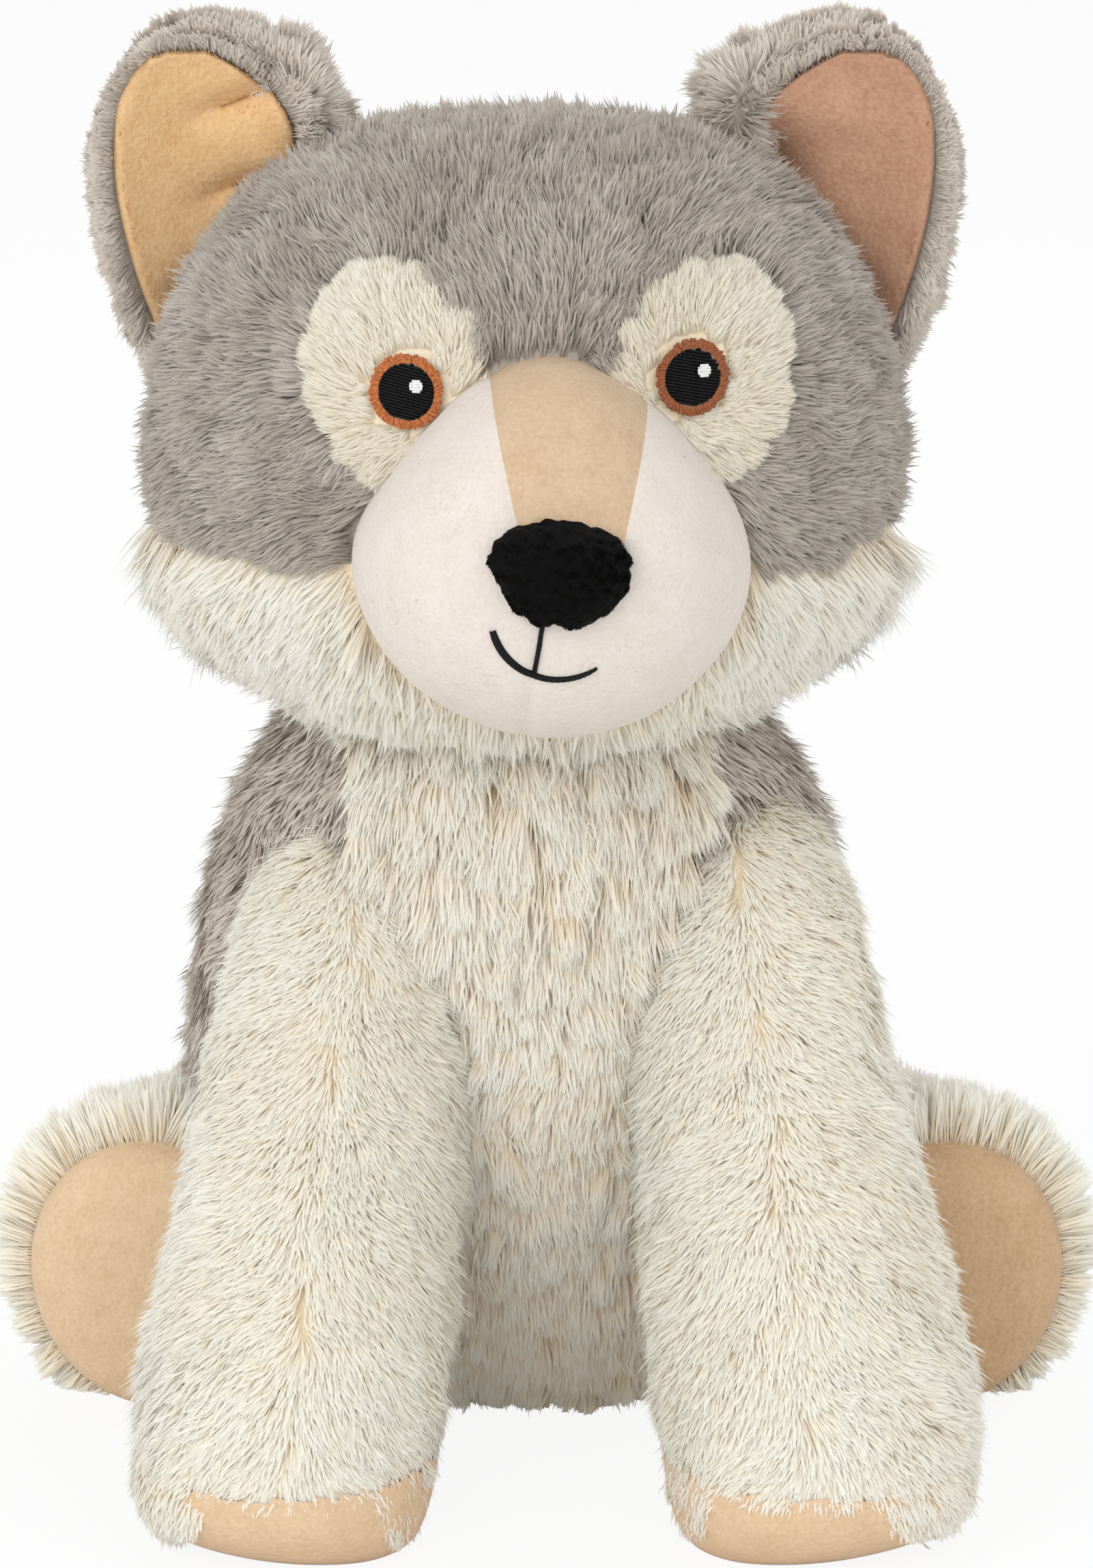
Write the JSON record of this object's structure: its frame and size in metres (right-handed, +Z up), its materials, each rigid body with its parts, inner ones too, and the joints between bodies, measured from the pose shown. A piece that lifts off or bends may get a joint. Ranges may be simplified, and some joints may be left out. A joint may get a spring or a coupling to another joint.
{
  "type": "plush wolf",
  "caption": "Sitting soft-toy wolf with a grey and cream plush coat, velour muzzle, ears and soles, and stitched eyes and mouth.",
  "frame": {"origin": "on the flat seat that rests on the floor, below the middle of the head", "axes": "+Z up, the wolf faces -Y, and its own left side is +X"},
  "size_m": [0.2414, 0.2665, 0.3185],
  "materials": {
    "grey_fur": "warm grey plush pile about 10 mm long",
    "cream_fur": "cream plush pile, 8 to 15 mm long, in tufts on the cheeks and chest",
    "tan_velour": "tan short-nap velour",
    "ear_velour": "pinkish tan short-nap velour",
    "white_velour": "off-white short-nap velour with a pink tinge",
    "black_velour": "black fleece",
    "black_thread": "black embroidery",
    "amber_thread": "orange-brown embroidery",
    "white_thread": "white embroidery",
    "white_fill": "loose polyester fibre"
  },
  "bodies": {
    "root": {"head_crown": "grey_fur", "ear_back_left": "grey_fur", "ear_back_right": "grey_fur", "torso_back": "grey_fur", "tail": "grey_fur", "head_cheeks": "cream_fur", "eye_patch_left": "cream_fur", "eye_patch_right": "cream_fur", "torso_chest": "cream_fur", "front_leg_outer_left": "cream_fur", "front_leg_outer_right": "cream_fur", "front_leg_inner_left": "cream_fur", "front_leg_inner_right": "cream_fur", "hind_leg_left": "cream_fur", "hind_leg_right": "cream_fur", "muzzle_bridge": "tan_velour", "front_sole_left": "tan_velour", "front_sole_right": "tan_velour", "hind_sole_left": "tan_velour", "hind_sole_right": "tan_velour", "ear_lining_left": "ear_velour", "ear_lining_right": "ear_velour", "muzzle_left": "white_velour", "muzzle_right": "white_velour", "nose": "black_velour", "mouth_stitching": "black_thread", "eye_pupil_left": "black_thread", "eye_pupil_right": "black_thread", "eye_iris_left": "amber_thread", "eye_iris_right": "amber_thread", "eye_glint_left": "white_thread", "eye_glint_right": "white_thread", "head_stuffing": "white_fill", "torso_stuffing": "white_fill", "front_leg_stuffing_left": "white_fill", "front_leg_stuffing_right": "white_fill", "hind_leg_stuffing_left": "white_fill", "hind_leg_stuffing_right": "white_fill"}
  },
  "joints": []
}
